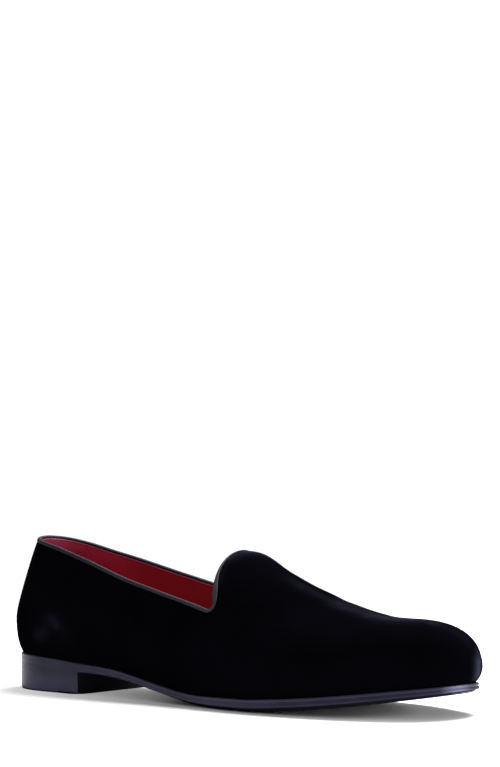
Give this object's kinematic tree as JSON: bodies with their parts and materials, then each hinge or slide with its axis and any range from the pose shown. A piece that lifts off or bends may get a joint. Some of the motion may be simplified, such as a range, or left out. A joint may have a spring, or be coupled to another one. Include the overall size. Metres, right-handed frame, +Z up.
{
  "type": "velvet slipper loafer",
  "caption": "Right-foot velvet slipper loafer with a raised tongue, a bound topline, a leather-lined hollow upper, an insole, an outsole and a heel block.",
  "frame": {"origin": "middle of the shoe's length and width, on the floor that it stands on", "axes": "+X towards the toe, +Y towards the inside of the foot, +Z up"},
  "size_m": [0.3046, 0.0976, 0.0893],
  "materials": {
    "velvet": "black silk velvet with a soft nap",
    "tape": "smooth slate tape",
    "sock_leather": "deep red leather",
    "sole_leather": "blue-grey stained and waxed edge",
    "heel_leather": "blue-grey stained and waxed edge"
  },
  "bodies": {
    "root": {"upper": "velvet", "topline_binding": "tape", "insole": "sock_leather", "outsole": "sole_leather", "heel": "heel_leather"}
  },
  "joints": []
}
